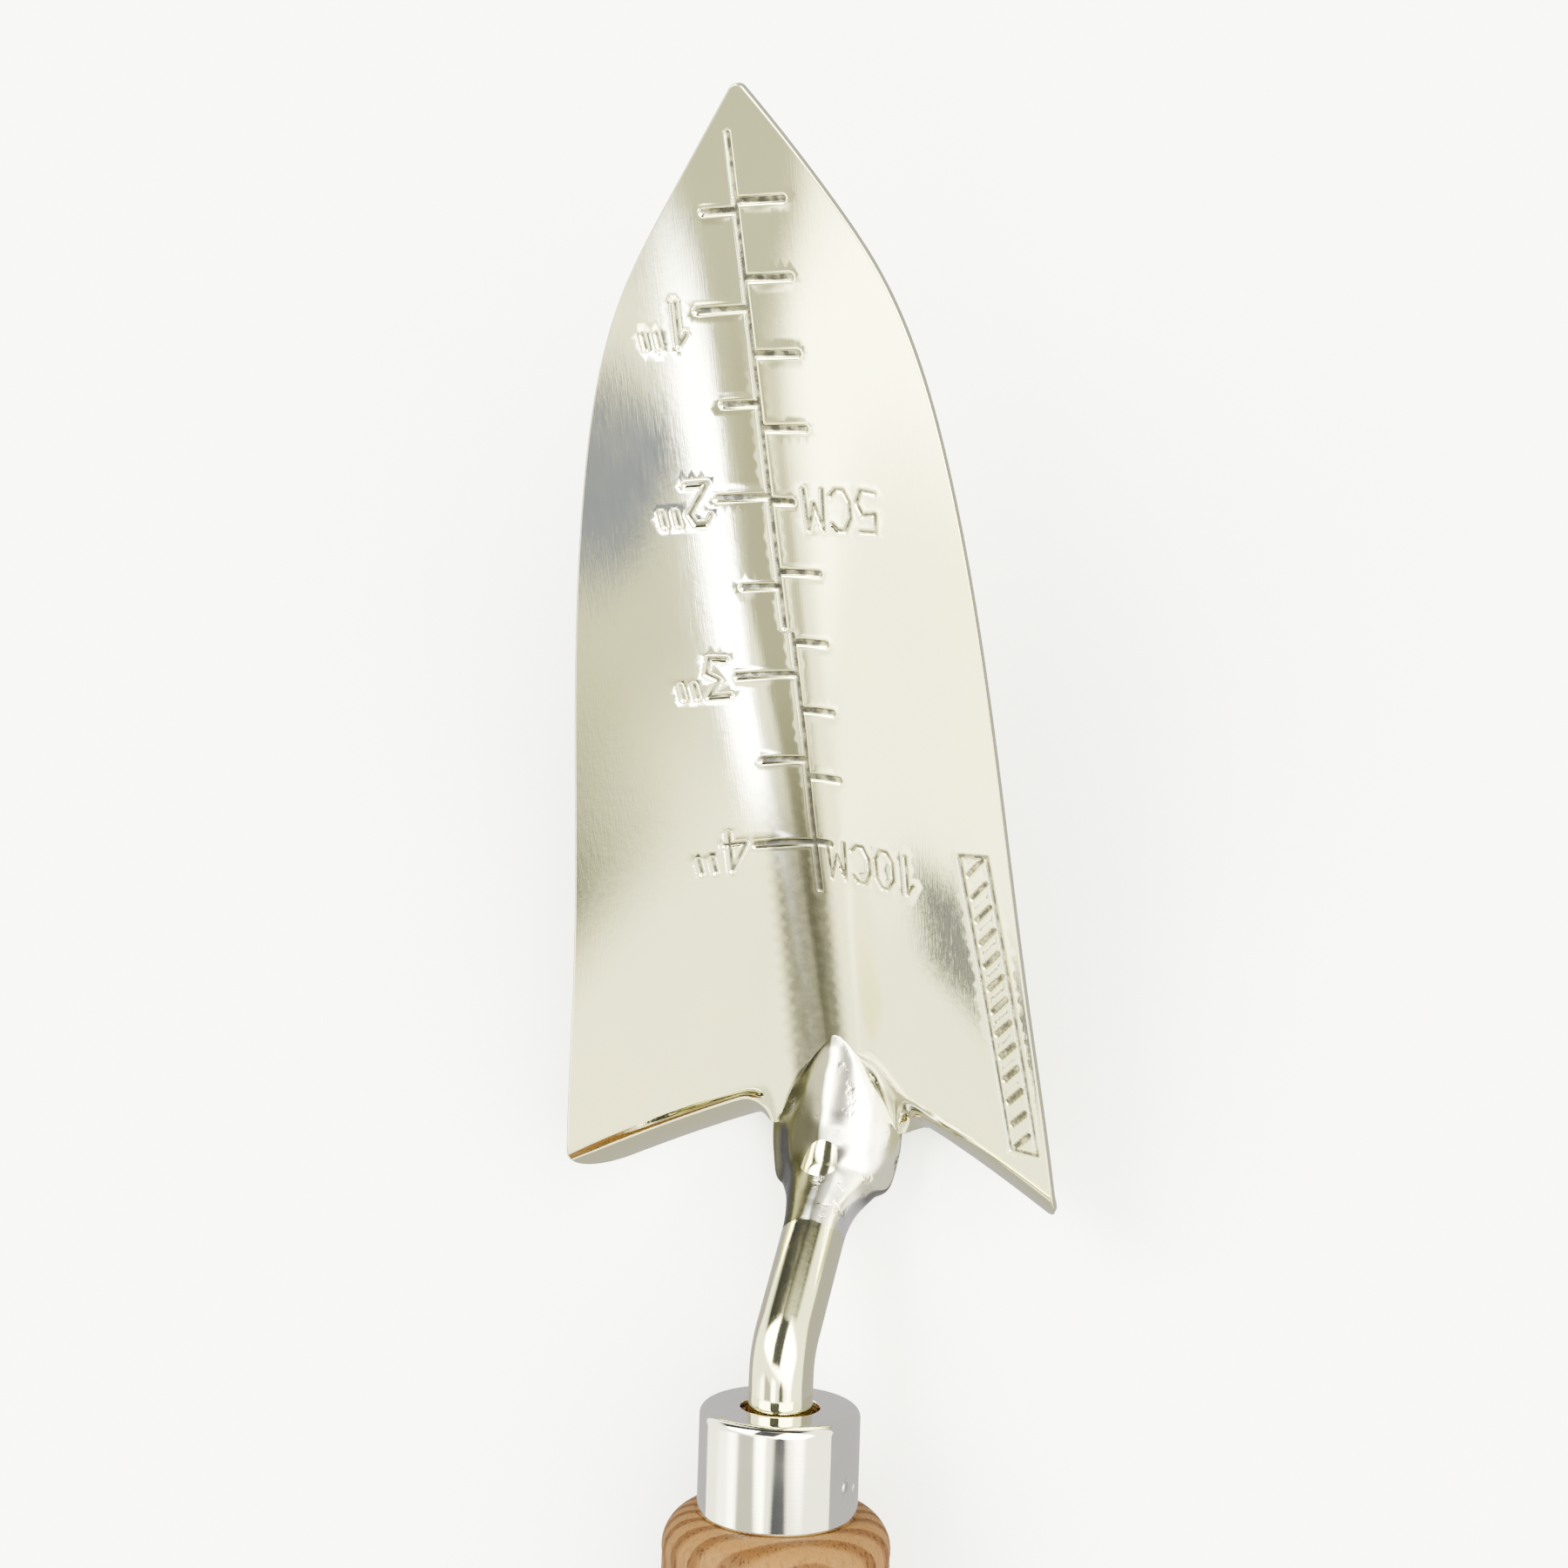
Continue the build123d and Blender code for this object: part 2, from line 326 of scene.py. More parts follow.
def stamped_steel(name, turn):
    """The blade's steel, with painted shade: darker in the pressed marks and along the channel's floor."""
    nodes = polished_steel(name, turn)
    pressed = nodes.add("ShaderNodeAttribute", attribute_name="pressed").outputs["Fac"]
    mottle = nodes.noise(nodes.place((700, 700, 700), turn), 1.0, 2.0, 0.5)
    # Painted shade in the pressed marks: the steel there is darkened almost to black and made rougher
    groove_painted_shade = nodes.math("MULTIPLY", nodes.between(pressed, 0.35, 1.0),
                      nodes.between(mottle, 0.25, 0.6, 0.55, 1.0))
    color = nodes.shader.inputs["Base Color"].links[0].from_socket
    rough = nodes.shader.inputs["Roughness"].links[0].from_socket
    # Painted shade along the channel's floor: the steel there is darkened almost to black, and made a
    # little rougher
    channel_painted_shade = nodes.add("ShaderNodeAttribute", attribute_name="channel_painted_shade").outputs["Fac"]
    channel_painted_shade = nodes.math("MULTIPLY", channel_painted_shade, nodes.between(mottle, 0.2, 0.7, 0.88, 0.96))
    color = nodes.mix(channel_painted_shade, color, (0.105, 0.102, 0.080))
    nodes.feed("Base Color", nodes.mix(groove_painted_shade, color, (0.055, 0.053, 0.047)))
    rough = nodes.math("ADD", rough, nodes.math("MULTIPLY", channel_painted_shade, 0.10))
    nodes.feed("Roughness", nodes.math("ADD", rough, nodes.math("MULTIPLY", groove_painted_shade, 0.22)))
    return nodes


def rough_weld(name):
    """Ground and buffed weld metal, a little lumpy, with small pits left, and painted shade on its flanks.
    """
    nodes = Nodes(name)
    nodes.set(Metallic=1.0)
    spots = nodes.noise(nodes.place((420, 420, 420)), 1.0, 4.0, 0.6)
    lumps = nodes.noise(nodes.place((170, 120, 170)), 1.0, 2.0, 0.5, 0.6)
    parts = nodes.add("ShaderNodeSeparateXYZ")
    nodes.link(nodes.place(), parts.inputs["Vector"])
    side = nodes.math("ADD", parts.outputs["X"], nodes.math("MULTIPLY", lumps, 0.0022))
    # Painted shade: the left flank, and more faintly the far right one, are darkened almost to black, and
    # the left flank is made rougher; the crown keeps the steel's own colour
    left_flank_painted_shade = nodes.between(side, 0.0004, 0.0016, 1.0, 0.0)
    right_flank_painted_shade = nodes.between(side, 0.0062, 0.0078, 0.0, 0.75)
    bright = nodes.ramp(spots, [(0.30, (0.50, 0.49, 0.44)), (0.42, (0.80, 0.79, 0.74)),
                                (0.75, (0.86, 0.85, 0.81))])
    color = nodes.mix(nodes.math("MAXIMUM", left_flank_painted_shade, right_flank_painted_shade), bright, (0.040, 0.039, 0.030))
    nodes.feed("Base Color", color)
    nodes.feed("Roughness", nodes.math("ADD", nodes.between(lumps, 0.3, 0.7, 0.10, 0.22),
                                       nodes.math("MULTIPLY", left_flank_painted_shade, 0.10)))
    relief = nodes.math("ADD", nodes.between(spots, 0.25, 0.45), nodes.math("MULTIPLY", lumps, 2.0))
    nodes.bump(relief, 0.25, 0.00018)
    return nodes.material


def chrome(name):
    """Bright plating with faint polishing marks round the piece and a little handling haze."""
    nodes = Nodes(name)
    nodes.set(Metallic=1.0)
    haze = nodes.noise(nodes.place((60, 60, 60), LIE_ANGLE), 1.0, 3.0, 0.6)
    rings = nodes.noise(nodes.place((60, 6000, 60), LIE_ANGLE), 1.0, 2.0, 0.5)
    nodes.feed("Roughness", nodes.between(haze, 0.35, 0.7, 0.035, 0.10))
    nodes.feed("Base Color", nodes.ramp(haze, [(0.3, (0.82, 0.81, 0.70)), (0.7, (0.89, 0.88, 0.78))]))
    nodes.bump(rings, 0.06, 0.00003)
    return nodes.material


def ash_wood(name):
    """Ash: growth rings cut by the turned shape, with short dark pores drawn out along the grain."""
    nodes = Nodes(name)
    wander = nodes.noise(nodes.place((26, 9, 26), LIE_ANGLE), 1.0, 2.0, 0.5)
    place = nodes.place((1, 1, 1), LIE_ANGLE)
    parts = nodes.add("ShaderNodeSeparateXYZ")
    nodes.link(place, parts.inputs["Vector"])
    across = nodes.math("ADD", parts.outputs["X"], 0.026)
    height = nodes.math("ADD", parts.outputs["Z"], nodes.math("MULTIPLY", parts.outputs["Y"], 0.06))
    height = nodes.math("ADD", height, 0.018)
    distance = nodes.math("SQRT", nodes.math("ADD", nodes.math("POWER", across, 2.0),
                                             nodes.math("POWER", height, 2.0)))
    years = nodes.math("ADD", nodes.math("MULTIPLY", distance, 330.0), nodes.math("MULTIPLY", wander, 3.2))
    season = nodes.math("FRACT", years)
    early = nodes.math("MULTIPLY", nodes.between(season, 0.0, 0.10), nodes.between(season, 0.62, 0.30))
    fibre = nodes.noise(nodes.place((1900, 60, 1900), LIE_ANGLE), 1.0, 3.0, 0.6)
    pores = nodes.noise(nodes.place((2600, 190, 2600), LIE_ANGLE), 1.0, 1.0, 0.5)
    pore_mask = nodes.math("MULTIPLY", nodes.between(pores, 0.55, 0.68),
                           nodes.between(early, 0.1, 0.8, 0.28, 1.0))
    tone = nodes.noise(nodes.place((40, 12, 40), LIE_ANGLE), 1.0, 2.0, 0.5)
    grain = nodes.math("ADD", nodes.math("MULTIPLY", early, 0.55), nodes.math("MULTIPLY", fibre, 0.45))
    wood = nodes.ramp(grain, [(0.15, (0.100, 0.050, 0.0150)), (0.45, (0.072, 0.034, 0.0095)),
                              (0.80, (0.046, 0.019, 0.0050))])
    wood = nodes.mix(nodes.between(tone, 0.35, 0.7, 0.0, 0.35), wood, (0.060, 0.026, 0.0070))
    wood = nodes.mix(nodes.math("MULTIPLY", pore_mask, 0.75), wood, (0.014, 0.005, 0.0015))
    nodes.feed("Base Color", wood)
    nodes.feed("Roughness", nodes.between(fibre, 0.3, 0.7, 0.42, 0.58))
    nodes.set(Specular_IOR_Level=0.08)
    relief = nodes.math("SUBTRACT", nodes.math("MULTIPLY", fibre, 0.35), pore_mask)
    nodes.bump(relief, 0.35, 0.00018)
    return nodes.material


def hard_glue(name):
    """Set epoxy: dark brown, with small bubbles."""
    nodes = Nodes(name)
    bubbles = nodes.noise(nodes.place((900, 900, 900)), 1.0, 2.0, 0.5)
    nodes.feed("Base Color", nodes.ramp(bubbles, [(0.35, (0.010, 0.007, 0.004)),
                                                  (0.7, (0.030, 0.019, 0.010))]))
    nodes.feed("Roughness", nodes.between(bubbles, 0.3, 0.7, 0.35, 0.6))
    nodes.bump(bubbles, 0.3, 0.0002)
    return nodes.material


blade_steel = stamped_steel("blade_steel", BLADE_TILT).material
rod_steel = polished_steel("neck_steel", BLADE_TILT, rough=(0.05, 0.12), streak=0.4).material
weld_steel = rough_weld("weld_steel")
ferrule_chrome = chrome("ferrule_chrome")
pin_steel = polished_steel("pin_steel", 0.0, tint=(0.55, 0.54, 0.52), rough=(0.2, 0.35)).material
ash = ash_wood("ash")
glue = hard_glue("glue")


# ---- Blade: outline -----------------------------------------------------------------------------
def heel_edge(x):
    """Where the heel edge lies at x: level across the notch, swept back to the corners."""
    beyond = np.maximum(np.abs(x) - NOTCH_HALF_WIDTH, 0) / (HEEL_HALF_WIDTH - NOTCH_HALF_WIDTH)
    return NOTCH_Y - HEEL_SWEEP * beyond**1.3


def blade_outline(step):
    """The blade's outline as evenly spaced points, from the notch round the right edge and back."""
    nose = BLADE_LENGTH - TIP_RADIUS
    arc = [(TIP_RADIUS * cos(a), nose + TIP_RADIUS * sin(a))
           for a in np.linspace(pi / 2, TIP_HALF_ANGLE, 12)]
    edge_end = (HEEL_HALF_WIDTH, float(heel_edge(HEEL_HALF_WIDTH)))
    leaving = (sin(TIP_HALF_ANGLE), -cos(TIP_HALF_ANGLE))
    edge = spline_through([arc[-1], *EDGE_STATIONS, edge_end], leaving, (0.06, -1), 400)
    heel_x = np.linspace(HEEL_HALF_WIDTH, 0, 300)
    heel = np.c_[heel_x, heel_edge(heel_x)]
    # The heel corner: an arc that touches both edges
    down = edge[-1] - edge[-8]
    down /= np.linalg.norm(down)
    inward = heel[8] - heel[0]
    inward /= np.linalg.norm(inward)
    half_turn = np.arccos(np.clip(-down @ inward, -1, 1)) / 2
    reach = HEEL_CORNER_RADIUS / tan(half_turn)
    corner = edge[-1]
    edge = edge[np.linalg.norm(edge - corner, axis=1) > reach]
    heel = heel[np.linalg.norm(heel - corner, axis=1) > reach]
    towards = (inward - down) / np.linalg.norm(inward - down)
    centre = corner + towards * HEEL_CORNER_RADIUS / sin(half_turn)
    first, last = corner - down * reach - centre, corner + inward * reach - centre
    start, end = atan2(first[1], first[0]), atan2(last[1], last[0])
    turn = (end - start + pi) % (2 * pi) - pi
    bend = [centre + HEEL_CORNER_RADIUS * np.array([cos(start + turn * t), sin(start + turn * t)])
            for t in np.linspace(0, 1, 14)]
    half = np.concatenate([arc, edge, bend, heel])
    half = half * [1 - MESH_CLEARANCE / HEEL_HALF_WIDTH, 1]
    whole = np.concatenate([half, np.c_[-half[::-1, 0], half[::-1, 1]][1:-1]])
    loop = np.vstack([whole, whole[:1]])
    lengths = np.concatenate([[0], np.cumsum(np.linalg.norm(np.diff(loop, axis=0), axis=1))])
    # Even spacing, with every point of the nose arc kept close by a finer step there
    places = np.arange(0, lengths[-1] - step * 0.5, step)
    nose_places = np.linspace(0, 2.4, 9)
    places = np.concatenate([nose_places, places[places > 2.6], lengths[-1] - nose_places[:0:-1]])
    places = np.unique(np.round(places[places < lengths[-1] - 1e-6], 6))
    return np.c_[np.interp(places, lengths, loop[:, 0]), np.interp(places, lengths, loop[:, 1])]


def outward_of(loop):
    """The outward direction at each point of a closed loop of points."""
    along = np.roll(loop, -1, axis=0) - np.roll(loop, 1, axis=0)
    along /= np.linalg.norm(along, axis=1)[:, None]
    outward = np.c_[-along[:, 1], along[:, 0]]
    middle = loop.mean(axis=0)
    if ((loop - middle) * outward).sum() < 0:
        outward = -outward
    return outward


# ---- Blade: marks pressed into the scoop --------------------------------------------------------
def scale_line_x(y):
    """The scale's long line wanders a little, and steps aside below the third inch."""
    return np.where(y > 77, -1.1 - 0.0115 * (y - 80), 0.0)


STROKES = {
    "0": [[(.3, 0), (0, .25), (0, .75), (.3, 1), (.7, 1), (1, .75), (1, .25), (.7, 0), (.3, 0)]],
    "1": [[(.25, .75), (.6, 1), (.6, 0)]],
    "2": [[(0, .8), (.25, 1), (.75, 1), (1, .75), (0, 0), (1, 0)]],
    "3": [[(0, 1), (1, 1), (.45, .58), (1, .4), (.8, 0), (0, .05)]],
    "4": [[(.75, 0), (.75, 1), (0, .3), (1, .3)]],
    "5": [[(.9, 1), (.1, 1), (.05, .55), (.75, .6), (1, .3), (.75, 0), (0, .05)]],
    "c": [[(1, .85), (.7, 1), (.3, 1), (0, .7), (0, .3), (.3, 0), (.7, 0), (1, .15)]],
    "m": [[(0, 0), (.1, 1), (.5, .35), (.9, 1), (1, 0)]],
    "'": [[(.1, 1), (.2, .66)], [(.75, 1), (.85, .66)]],
}
LETTER_WIDTH = 2.9
LETTER_HEIGHT = 5.6
LETTER_PITCH = 4.1
GROOVE = 0.48
LETTER_GROOVE = 0.26
GROOVE_DEPTH = 0.32
LETTER_DEPTH = 0.24
STRIP_CENTRE = (29.9, 27.5)
STRIP_LENGTH = 41.5
STRIP_WIDTH = 4.6
STRIP_LEAN = radians(8.5)
STRIP_RIBS = 13
RIB_LEAN = 1.1

marks = []


def mark(points, half_width, depth):
    """One stroke of even width, pressed into the scoop along straight stretches."""
    for start, end in zip(points[:-1], points[1:]):
        marks.append((np.array(start, float), np.array(end, float), half_width, depth))


def letters(text, x, y):
    """Digits and letters that read with the tip down; x and y are the first one's top corner."""
    for place, letter in enumerate(text):
        for stroke in STROKES[letter]:
            mark([(x - place * LETTER_PITCH - gx * LETTER_WIDTH, y - gy * LETTER_HEIGHT)
                  for gx, gy in stroke], LETTER_GROOVE, LETTER_DEPTH)


line_top = [(float(scale_line_x(y)), y) for y in (144, 135, 125, 115, 105, 95, 86, 77.5)]
mark(line_top, 0.30, GROOVE_DEPTH)
mark([(0.0, 76.5), (0.1, 62), (-0.1, 50), (0.0, 38)], 0.30, GROOVE_DEPTH)
for number in range(1, 11):
    y = 145.4 - 10 * number
    reach = {5: 1.9, 10: 2.4}.get(number, 5.0)
    mark([(float(scale_line_x(y)) + 0.5, y), (reach, y - 0.15)], GROOVE, GROOVE_DEPTH)
for number in range(1, 9):
    y = 146.9 - 12.7 * number
    reach = -8.5 if number % 2 == 0 else -6.3
    mark([(float(scale_line_x(y)) - 0.4, y), (reach, y + 0.1)], GROOVE * 0.9, GROOVE_DEPTH)
letters("5cm", 14.9, 97.0)
letters("10cm", 17.0, 45.6)
for inches, y in (("1", 122.8), ("2", 98.4), ("3", 73.6), ("4", 47.4)):
    letters(inches + "'", -9.8, y)

strip_along = np.array([-sin(STRIP_LEAN), cos(STRIP_LEAN)]) * -1
strip_across = np.array([cos(STRIP_LEAN), sin(STRIP_LEAN)])


def on_strip(across, along):
    return np.array(STRIP_CENTRE) + strip_across * across - strip_along * along


half_width, half_length = STRIP_WIDTH / 2, STRIP_LENGTH / 2
mark([on_strip(-half_width, -half_length), on_strip(-half_width, half_length),
      on_strip(half_width, half_length), on_strip(half_width, -half_length),
      on_strip(-half_width, -half_length)], 0.26, LETTER_DEPTH)
for rib in range(STRIP_RIBS):
    along = -half_length + STRIP_LENGTH * (rib + 0.5) / STRIP_RIBS
    mark([on_strip(-half_width + 0.9, along - RIB_LEAN), on_strip(half_width - 0.9, along + RIB_LEAN)],
         0.34, LETTER_DEPTH)


def mark_depth(x, y):
    """How deep the marks are at each point: flat-floored grooves with a slight burr along them."""
    depth = np.zeros_like(x)
    burr = np.zeros_like(x)
    for start, end, half, deep in marks:
        low = np.minimum(start, end) - half - 1.2
        high = np.maximum(start, end) + half + 1.2
        near = np.nonzero((x > low[0]) & (x < high[0]) & (y > low[1]) & (y < high[1]))[0]
        if not len(near):
            continue
        across = np.c_[x[near], y[near]] - start
        along = end - start
        t = np.clip(across @ along / (along @ along), 0, 1)
        away = np.linalg.norm(across - t[:, None] * along, axis=1)
        pressed = deep * (1 - smooth_step(away, half - 0.16, half + 0.18))
        raised = 0.018 * np.exp(-((away - half - 0.34) / 0.16)**2)
        depth[near] = np.maximum(depth[near], pressed)
        burr[near] = np.maximum(burr[near], raised)
    return depth - burr * (1 - smooth_step(depth, 0.0, 0.04))


# ---- Blade: surface -----------------------------------------------------------------------------
def scoop_height(x, y):
    """Height of the upper face: a rounded V, a flat-floored channel and a rolled-down heel lip."""
    slope = 0.57 - 0.0025 * y
    rounding = 5.0 + 0.05 * np.maximum(y, 0)
    trough = slope * (np.hypot(x, rounding) - rounding)
    channel = CHANNEL_DEPTH * (1 - smooth_step(y, 10, 75)) / (1 + (x / 6.5)**6)
    inside = np.minimum(np.maximum(LIP_WIDTH - (y - heel_edge(x)), 0) / LIP_WIDTH, LIP_RUNOUT)
    lip = LIP_DEPTH * inside**2 * smooth_step(np.abs(x), LIP_START, LIP_FULL)
    return trough - channel - lip


def upper_height(x, y):
    return scoop_height(x, y) - mark_depth(x, y)


def surface_normals(height, x, y, step):
    across = (height(x + step, y) - height(x - step, y)) / (2 * step)
    along = (height(x, y + step) - height(x, y - step)) / (2 * step)
    normals = np.c_[-across, -along, np.ones_like(x)]
    return normals / np.linalg.norm(normals, axis=1)[:, None]


def under_height(x, y):
    """Height of the under face: one sheet down, square to the wings, and drawn thinner at the lip."""
    step = 0.05
    across = (scoop_height(x + step, y) - scoop_height(x - step, y)) / (2 * step)
    along = (scoop_height(x, y + step) - scoop_height(x, y - step)) / (2 * step)
    steepness = np.hypot(across, along)
    return scoop_height(x, y) - SHEET * np.hypot(1, steepness / np.hypot(1, steepness / THINNING_SLOPE))


def inside_loop(points, loop, margin):
    """Which points lie inside the closed loop, by more than the margin."""
    inside = np.zeros(len(points), bool)
    nearest = np.full(len(points), np.inf)
    following = np.roll(loop, -1, axis=0)
    for a, b in zip(loop, following):
        crosses = (a[1] > points[:, 1]) != (b[1] > points[:, 1])
        if a[1] != b[1]:
            x = (b[0] - a[0]) * (points[:, 1] - a[1]) / (b[1] - a[1]) + a[0]
            inside ^= crosses & (points[:, 0] < x)
        nearest = np.minimum(nearest, (points[:, 0] - a[0])**2 + (points[:, 1] - a[1])**2)
    return inside & (nearest > margin**2)


def near_marks(points, reach):
    close = np.zeros(len(points), bool)
    for start, end, half, _ in marks:
        low = np.minimum(start, end) - half - reach
        high = np.maximum(start, end) + half + reach
        near = np.nonzero((points > low).all(axis=1) & (points < high).all(axis=1))[0]
        if not len(near):
            continue
        along = end - start
        offset = points[near] - start
        t = np.clip(offset @ along / (along @ along), 0, 1)
        away = np.linalg.norm(offset - t[:, None] * along, axis=1)
        close[near[away < half + reach]] = True
    return close


def grid(spacing):
    """A staggered grid over the blade."""
    rows = np.arange(-8.0, 150.0, spacing * 0.87)
    points = []
    columns = np.arange(-39.0, 39.0, spacing)
    for i, y in enumerate(rows):
        shift = spacing / 2 * (i % 2)
        points.append(np.c_[columns + shift, np.full(len(columns), y)])
    return np.concatenate(points)


def filled(loop, points):
    """Triangles over the loop and the points inside it; the loop's own points come first."""
    verts = [Vector(p) for p in np.vstack([loop, points])]
    edges = [(i, (i + 1) % len(loop)) for i in range(len(loop))]
    out, _, faces, origins, _, _ = delaunay_2d_cdt(verts, edges, [list(range(len(loop)))], 1, 1e-5)
    ids = [o[0] if o else -1 for o in origins]
    return np.array([(v.x, v.y) for v in out]), [[ids[i] for i in f] for f in faces if len(f) == 3]


def build_blade():
    outline = blade_outline(OUTLINE_STEP)
    outward = outward_of(outline)
    rim = outline - outward * EDGE_ROUNDING
    count = len(outline)

    coarse = grid(COARSE_SPACING)
    lip_rows = grid(LIP_SPACING)
    lip_rows = lip_rows[lip_rows[:, 1] < heel_edge(lip_rows[:, 0]) + LIP_WIDTH + 2]
    base = np.vstack([coarse[coarse[:, 1] >= heel_edge(coarse[:, 0]) + LIP_WIDTH + 2], lip_rows])
    fine = grid(MARK_SPACING)
    fine = fine[near_marks(fine, MARK_REACH)]
    upper_base = base[~near_marks(base, MARK_REACH + 0.1)]
    upper_inner = np.vstack([upper_base, fine])
    upper_inner = upper_inner[inside_loop(upper_inner, rim, RIM_MARGIN)]
    lower_inner = base[inside_loop(base, rim, RIM_MARGIN)]

    _, upper_faces = filled(rim, upper_inner)
    _, lower_faces = filled(rim, lower_inner)

    upper_xy = np.vstack([rim, upper_inner])
    upper_z = upper_height(upper_xy[:, 0], upper_xy[:, 1])
    upper_normals = surface_normals(upper_height, upper_xy[:, 0], upper_xy[:, 1], 0.06)
    lower_xy = np.vstack([rim, lower_inner])
    lower_z = under_height(lower_xy[:, 0], lower_xy[:, 1])
    lower_normals = surface_normals(under_height, lower_xy[:, 0], lower_xy[:, 1], 0.05)

    # The cut edge: rounded into both faces
    wall_top = scoop_height(outline[:, 0], outline[:, 1])
    wall_bottom = under_height(outline[:, 0], outline[:, 1])
    wall_normals = np.c_[outward, np.zeros(count)]
    upper_wall = np.c_[outline, wall_top - EDGE_ROUNDING]
    lower_wall = np.c_[outline, wall_bottom + EDGE_ROUNDING]

    points = np.vstack([np.c_[upper_xy, upper_z], upper_wall, lower_wall, np.c_[lower_xy, lower_z]])
    normals = np.vstack([upper_normals, wall_normals, wall_normals, -lower_normals])
    wall = len(upper_xy)
    under = wall + count
    base_index = under + count
    faces = [tuple(f) for f in upper_faces]
    faces += [tuple(base_index + i for i in reversed(f)) for f in lower_faces]
    for i in range(count):
        j = (i + 1) % count
        faces.append((i, j, wall + j, wall + i))
        faces.append((wall + i, wall + j, under + j, under + i))
        faces.append((under + i, under + j, base_index + j, base_index + i))
    turned = normals[:, :1] * RIGHT + normals[:, 1:2] * BLADE_DIR + normals[:, 2:3] * BLADE_OUT
    piece = piece_from("blade_sheet", on_blade(points), faces, blade_steel)
    face_outwards(piece)
    piece.data.normals_split_custom_set_from_vertices(turned.tolist())
    # How deep each point is pressed, which also places the painted shade in the marks
    pressed = np.zeros(len(points), np.float32)
    pressed[:len(upper_xy)] = np.clip(mark_depth(upper_xy[:, 0], upper_xy[:, 1]) / LETTER_DEPTH, 0, 1)
    piece.data.attributes.new("pressed", "FLOAT", "POINT").data.foreach_set("value", pressed)
    x, y = upper_xy[:, 0], upper_xy[:, 1]
    # Where the channel's floor gets its painted shade
    channel_painted_shade = np.zeros(len(points), np.float32)
    channel_painted_shade[:len(upper_xy)] = (smooth_step(x, -7.3, -5.9) * (1 - smooth_step(x, 0.6, 2.6))
                                * (1 - smooth_step(y, 38, 80)))
    piece.data.attributes.new("channel_painted_shade", "FLOAT", "POINT").data.foreach_set("value", channel_painted_shade)
    return piece


blade = build_blade()
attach(blade, "root")
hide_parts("blade")


# ---- Neck rod -----------------------------------------------------------------------------------
def to_side(point):
    """A point of the plane of symmetry, as (along the grip's line, above it)."""
    offset = np.asarray(point) - MOUTH
    return np.array([offset @ GRIP_DIR, offset @ GRIP_UP])


def bent_path(corners, radii, step):
    """Points along straight runs joined by arcs, in the plane of symmetry."""
    corners = [np.asarray(c, float) for c in corners]
    path = [corners[0]]
    for before, corner, after, radius in zip(corners[:-2], corners[1:-1], corners[2:], radii):
        coming = (corner - before) / np.linalg.norm(corner - before)
        going = (after - corner) / np.linalg.norm(after - corner)
        bend = np.arccos(np.clip(coming @ going, -1, 1))
        reach = radius * tan(bend / 2)
        side = np.sign(coming[0] * going[1] - coming[1] * going[0])
        centre = corner - coming * reach + side * radius * np.array([-coming[1], coming[0]])
        spoke = corner - coming * reach - centre
        for t in np.linspace(0, 1, max(int(radius * bend / step), 6)):
            angle = side * bend * t
            path.append(centre + np.array([spoke[0] * cos(angle) - spoke[1] * sin(angle),
                                           spoke[0] * sin(angle) + spoke[1] * cos(angle)]))
    path.append(corners[-1])
    filled_path = [path[0]]
    for point in path[1:]:
        gap = np.linalg.norm(point - filled_path[-1])
        if gap < 1e-6:
            continue
        start = filled_path[-1]
        pieces = max(int(gap / step), 1)
        filled_path += [start + (point - start) * k / pieces for k in range(1, pieces + 1)]
    return np.array(filled_path)


heel_bend = on_blade((0, HEEL_BEND_Y, ROD_SEAT))[0]
neck_bend = MOUTH + GRIP_DIR * ROD_BEND_Y
rod_end = on_blade((0, ROD_LAP, ROD_SEAT))[0]


def build_rod():
    path = bent_path([(-ROD_TANG, 0.0), to_side(neck_bend), to_side(heel_bend), to_side(rod_end)],
                     [ROD_BEND_RADIUS, HEEL_BEND_RADIUS], PATH_STEP)
    path = path[:len(path) - int(ROD_HIDDEN / PATH_STEP)]
    sides = ROD_SIDES
    along = np.gradient(path, axis=0)
    along /= np.linalg.norm(along, axis=1)[:, None]
    lengths = np.concatenate([[0], np.cumsum(np.linalg.norm(np.diff(path, axis=0), axis=1))])
    points, normals = [], []
    for place, direction, length in zip(path, along, lengths):
        upward = np.array([-direction[1], direction[0]])
        centre = MOUTH + place[0] * GRIP_DIR + place[1] * GRIP_UP
        up = upward[0] * GRIP_DIR + upward[1] * GRIP_UP
        # The end that's buried in the weld narrows to a blunt point
        left = lengths[-1] - length
        radius = ROD_RADIUS * (1 if left > ROD_NOSE else 0.45 + 0.55 * (left / ROD_NOSE)**0.5)
        for s in range(sides):
            angle = 2 * pi * s / sides
            normal = RIGHT * cos(angle) + up * sin(angle)
            points.append(centre + normal * radius)
            normals.append(normal)
    points = np.array(points)
    faces = ring_faces(len(path), sides)
    faces.append(tuple(range(sides - 1, -1, -1)))
    faces.append(tuple(range((len(path) - 1) * sides, len(path) * sides)))
    piece = piece_from("neck_bent_rod", points, faces, rod_steel)
    face_outwards(piece)
    return piece


rod = build_rod()
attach(rod, "root")
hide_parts("neck_rod")


